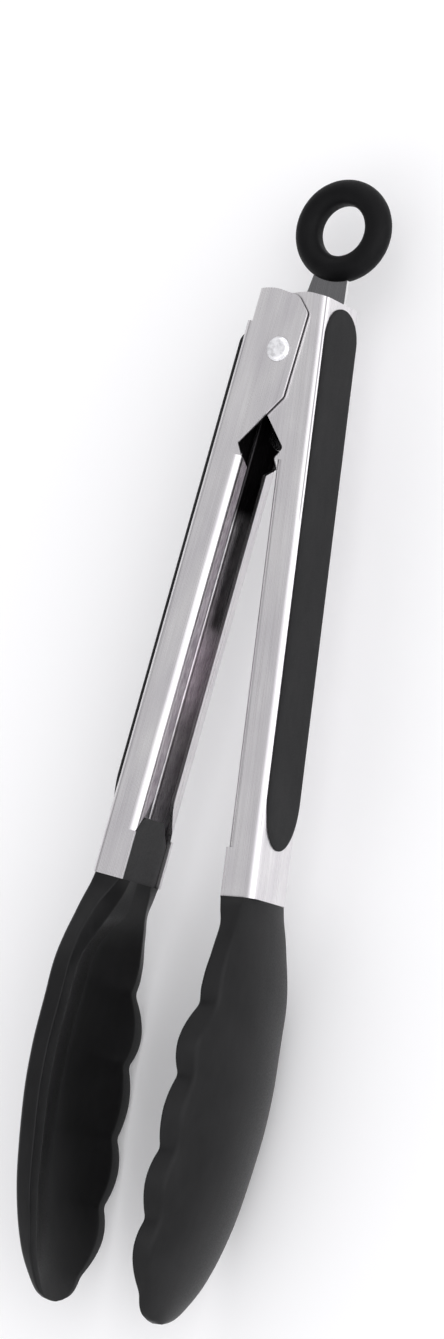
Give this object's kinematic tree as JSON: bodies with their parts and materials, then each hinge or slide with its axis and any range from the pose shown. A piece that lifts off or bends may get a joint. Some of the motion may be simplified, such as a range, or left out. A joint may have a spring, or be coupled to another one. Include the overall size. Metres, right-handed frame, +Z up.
{
  "type": "locking kitchen tongs",
  "caption": "Spring loaded kitchen tongs: two pivoted steel channel arms, soft grips, scalloped silicone heads and a pull-ring lock.",
  "frame": {"origin": "centre of the bottom of the bounding box, with the tongs lying on their side and open", "axes": "+Z up, parallel to the pivot rivet; +Y along the tongs from the heads to the hanging ring; +X towards the inner arm"},
  "size_m": [0.0498, 0.2562, 0.0405],
  "materials": {
    "arm_steel": "brushed along its length",
    "lock_steel": "dark polished",
    "rivet_steel": "polished",
    "spring_steel": "drawn wire",
    "grip_silicone": "satin charcoal",
    "head_silicone": "matte black",
    "ring_silicone": "matte black",
    "nylon_black": "moulded",
    "nylon_natural": "moulded"
  },
  "bodies": {
    "inner_side": {"inner_arm": "arm_steel", "inner_grip": "grip_silicone", "inner_grip_retainer": "nylon_black", "inner_head_core": "nylon_black", "inner_head_skin": "head_silicone"},
    "outer_side": {"outer_arm": "arm_steel", "outer_grip": "grip_silicone", "outer_grip_retainer": "nylon_black", "outer_head_core": "nylon_black", "outer_head_skin": "head_silicone", "pivot_rivet": "rivet_steel", "spring_bush": "nylon_natural", "slide_washer": "nylon_natural", "torsion_spring": "spring_steel"},
    "lock": {"lock_slide": "lock_steel", "ring_sleeve": "ring_silicone"}
  },
  "joints": [
    {"name": "arm_hinge", "type": "hinge", "parent": "inner_side", "child": "outer_side", "pos_m": [0, 0.08576, 0.02025], "axis": [0, 0, 1], "range_deg": [0, 6.76], "stiffness_Nm_per_rad": 0.7, "springref_deg": -9.74, "deforming": ["torsion_spring"]},
    {"name": "lock_pull", "type": "slide", "parent": "outer_side", "child": "lock", "axis": [0.0651, 0.9979, 0], "range_m": [0, 0.006]}
  ]
}
